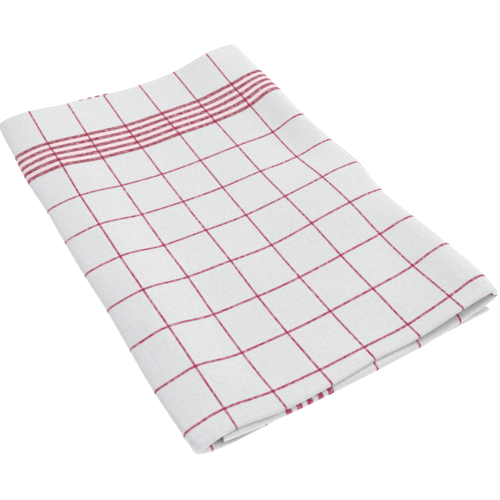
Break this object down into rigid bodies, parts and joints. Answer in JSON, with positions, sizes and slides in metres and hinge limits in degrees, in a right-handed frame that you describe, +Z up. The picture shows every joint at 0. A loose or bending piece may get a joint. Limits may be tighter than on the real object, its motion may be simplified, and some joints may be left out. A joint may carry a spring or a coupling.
{
  "type": "folded tea towel",
  "caption": "Checked cotton tea towel, hemmed on all sides, folded in half and then in thirds, lying flat to be picked up, stacked or unfolded.",
  "frame": {"origin": "under the middle of the folded towel's box, on the surface that it rests on", "axes": "+X to the right across the thirds, +Y from the front fold to the back hems, +Z up"},
  "size_m": [0.2132, 0.3276, 0.0229],
  "materials": {
    "cotton": "plain woven cotton, matt, white with a fine red check"
  },
  "bodies": {
    "root": {"towel_cloth": "cotton"}
  },
  "joints": []
}
